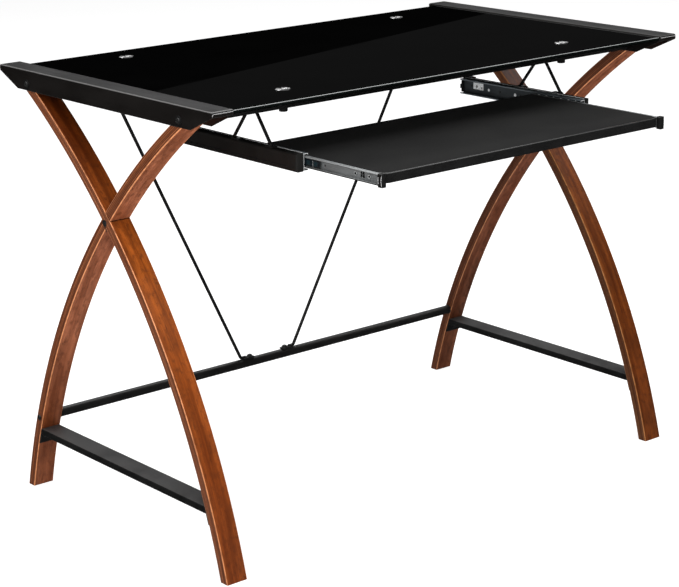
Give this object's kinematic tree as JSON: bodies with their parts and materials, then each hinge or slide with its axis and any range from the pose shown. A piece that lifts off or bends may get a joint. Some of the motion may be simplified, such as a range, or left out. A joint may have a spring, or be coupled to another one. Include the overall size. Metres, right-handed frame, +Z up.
{
  "type": "computer desk with keyboard tray",
  "caption": "Computer desk with crossed bentwood legs at each end, a black glass top between end rails, and a keyboard tray on slides that pulls out from under the top.",
  "frame": {"origin": "on the floor, under the middle of the part's bounds with the keyboard tray pulled out", "axes": "+X to the right of a person sitting at the desk, +Y to the back of the desk, +Z up"},
  "size_m": [1.0216, 0.7524, 0.756],
  "materials": {
    "glass_black": "polished black tempered glass",
    "disc_metal": "bright metal",
    "rail_black": "satin black paint",
    "leg_wood": "bent lamination, cherry stain, satin lacquer",
    "black_steel": "black powder coat",
    "steel_pin": "plain steel",
    "black_moulding": "black moulding, fine texture",
    "zinc": "bright zinc",
    "cage_dark": "dark blue-grey",
    "tray_black": "matt black laminate",
    "edge_black": "matt black edging"
  },
  "bodies": {
    "frame": {"beam_plugs": "black_steel", "brace_bolts": "black_steel", "disc_screws": "black_steel", "front_cross_beam": "black_steel", "glass_discs": "disc_metal", "glass_top": "glass_black", "left_brace_rod": "black_steel", "left_crossing_nut": "black_steel", "left_end_rail": "rail_black", "left_front_leg": "leg_wood", "left_hanger_bar": "black_steel", "left_hanger_screws": "zinc", "left_leg_pins": "steel_pin", "left_rail_bolts": "black_steel", "left_rear_leg_lower": "leg_wood", "left_rear_leg_upper": "leg_wood", "left_rear_strap": "black_steel", "left_side_stretcher": "black_steel", "left_slide_outer": "zinc", "left_slide_screws": "zinc", "left_stretcher_bolts": "black_steel", "left_tray_rail": "black_moulding", "left_wire_hanger": "black_steel", "rear_cross_beam": "black_steel", "rear_stretcher": "black_steel", "rear_stretcher_bolts": "black_steel", "right_brace_rod": "black_steel", "right_crossing_nut": "black_steel", "right_end_rail": "rail_black", "right_front_leg": "leg_wood", "right_hanger_bar": "black_steel", "right_hanger_screws": "zinc", "right_leg_pins": "steel_pin", "right_rail_bolts": "black_steel", "right_rear_leg_lower": "leg_wood", "right_rear_leg_upper": "leg_wood", "right_rear_strap": "black_steel", "right_side_stretcher": "black_steel", "right_slide_outer": "zinc", "right_slide_screws": "zinc", "right_stretcher_bolts": "black_steel", "right_tray_rail": "black_moulding", "right_wire_hanger": "black_steel", "stretcher_plugs": "black_steel"},
    "tray": {"left_end_block": "black_moulding", "left_end_clip": "black_moulding", "left_slide_inner": "zinc", "right_end_block": "black_moulding", "right_end_clip": "black_moulding", "right_slide_inner": "zinc", "tray_board": "tray_black", "tray_edge": "edge_black", "tray_screws": "zinc"},
    "left_cage": {"left_ball_cage": "cage_dark", "left_balls": "disc_metal"},
    "right_cage": {"right_ball_cage": "cage_dark", "right_balls": "disc_metal"}
  },
  "joints": [
    {"name": "tray_slide", "type": "slide", "parent": "frame", "child": "tray", "axis": [0, 1, 0], "range_m": [0, 0.168]},
    {"name": "left_cage_slide", "type": "slide", "parent": "frame", "child": "left_cage", "axis": [0, 1, 0], "range_m": [0, 0.084]},
    {"name": "right_cage_slide", "type": "slide", "parent": "frame", "child": "right_cage", "axis": [0, 1, 0], "range_m": [0, 0.084]}
  ],
  "couplings": [
    {"joint": "left_cage_slide", "follows": "tray_slide", "ratio": 0.5},
    {"joint": "right_cage_slide", "follows": "tray_slide", "ratio": 0.5}
  ]
}
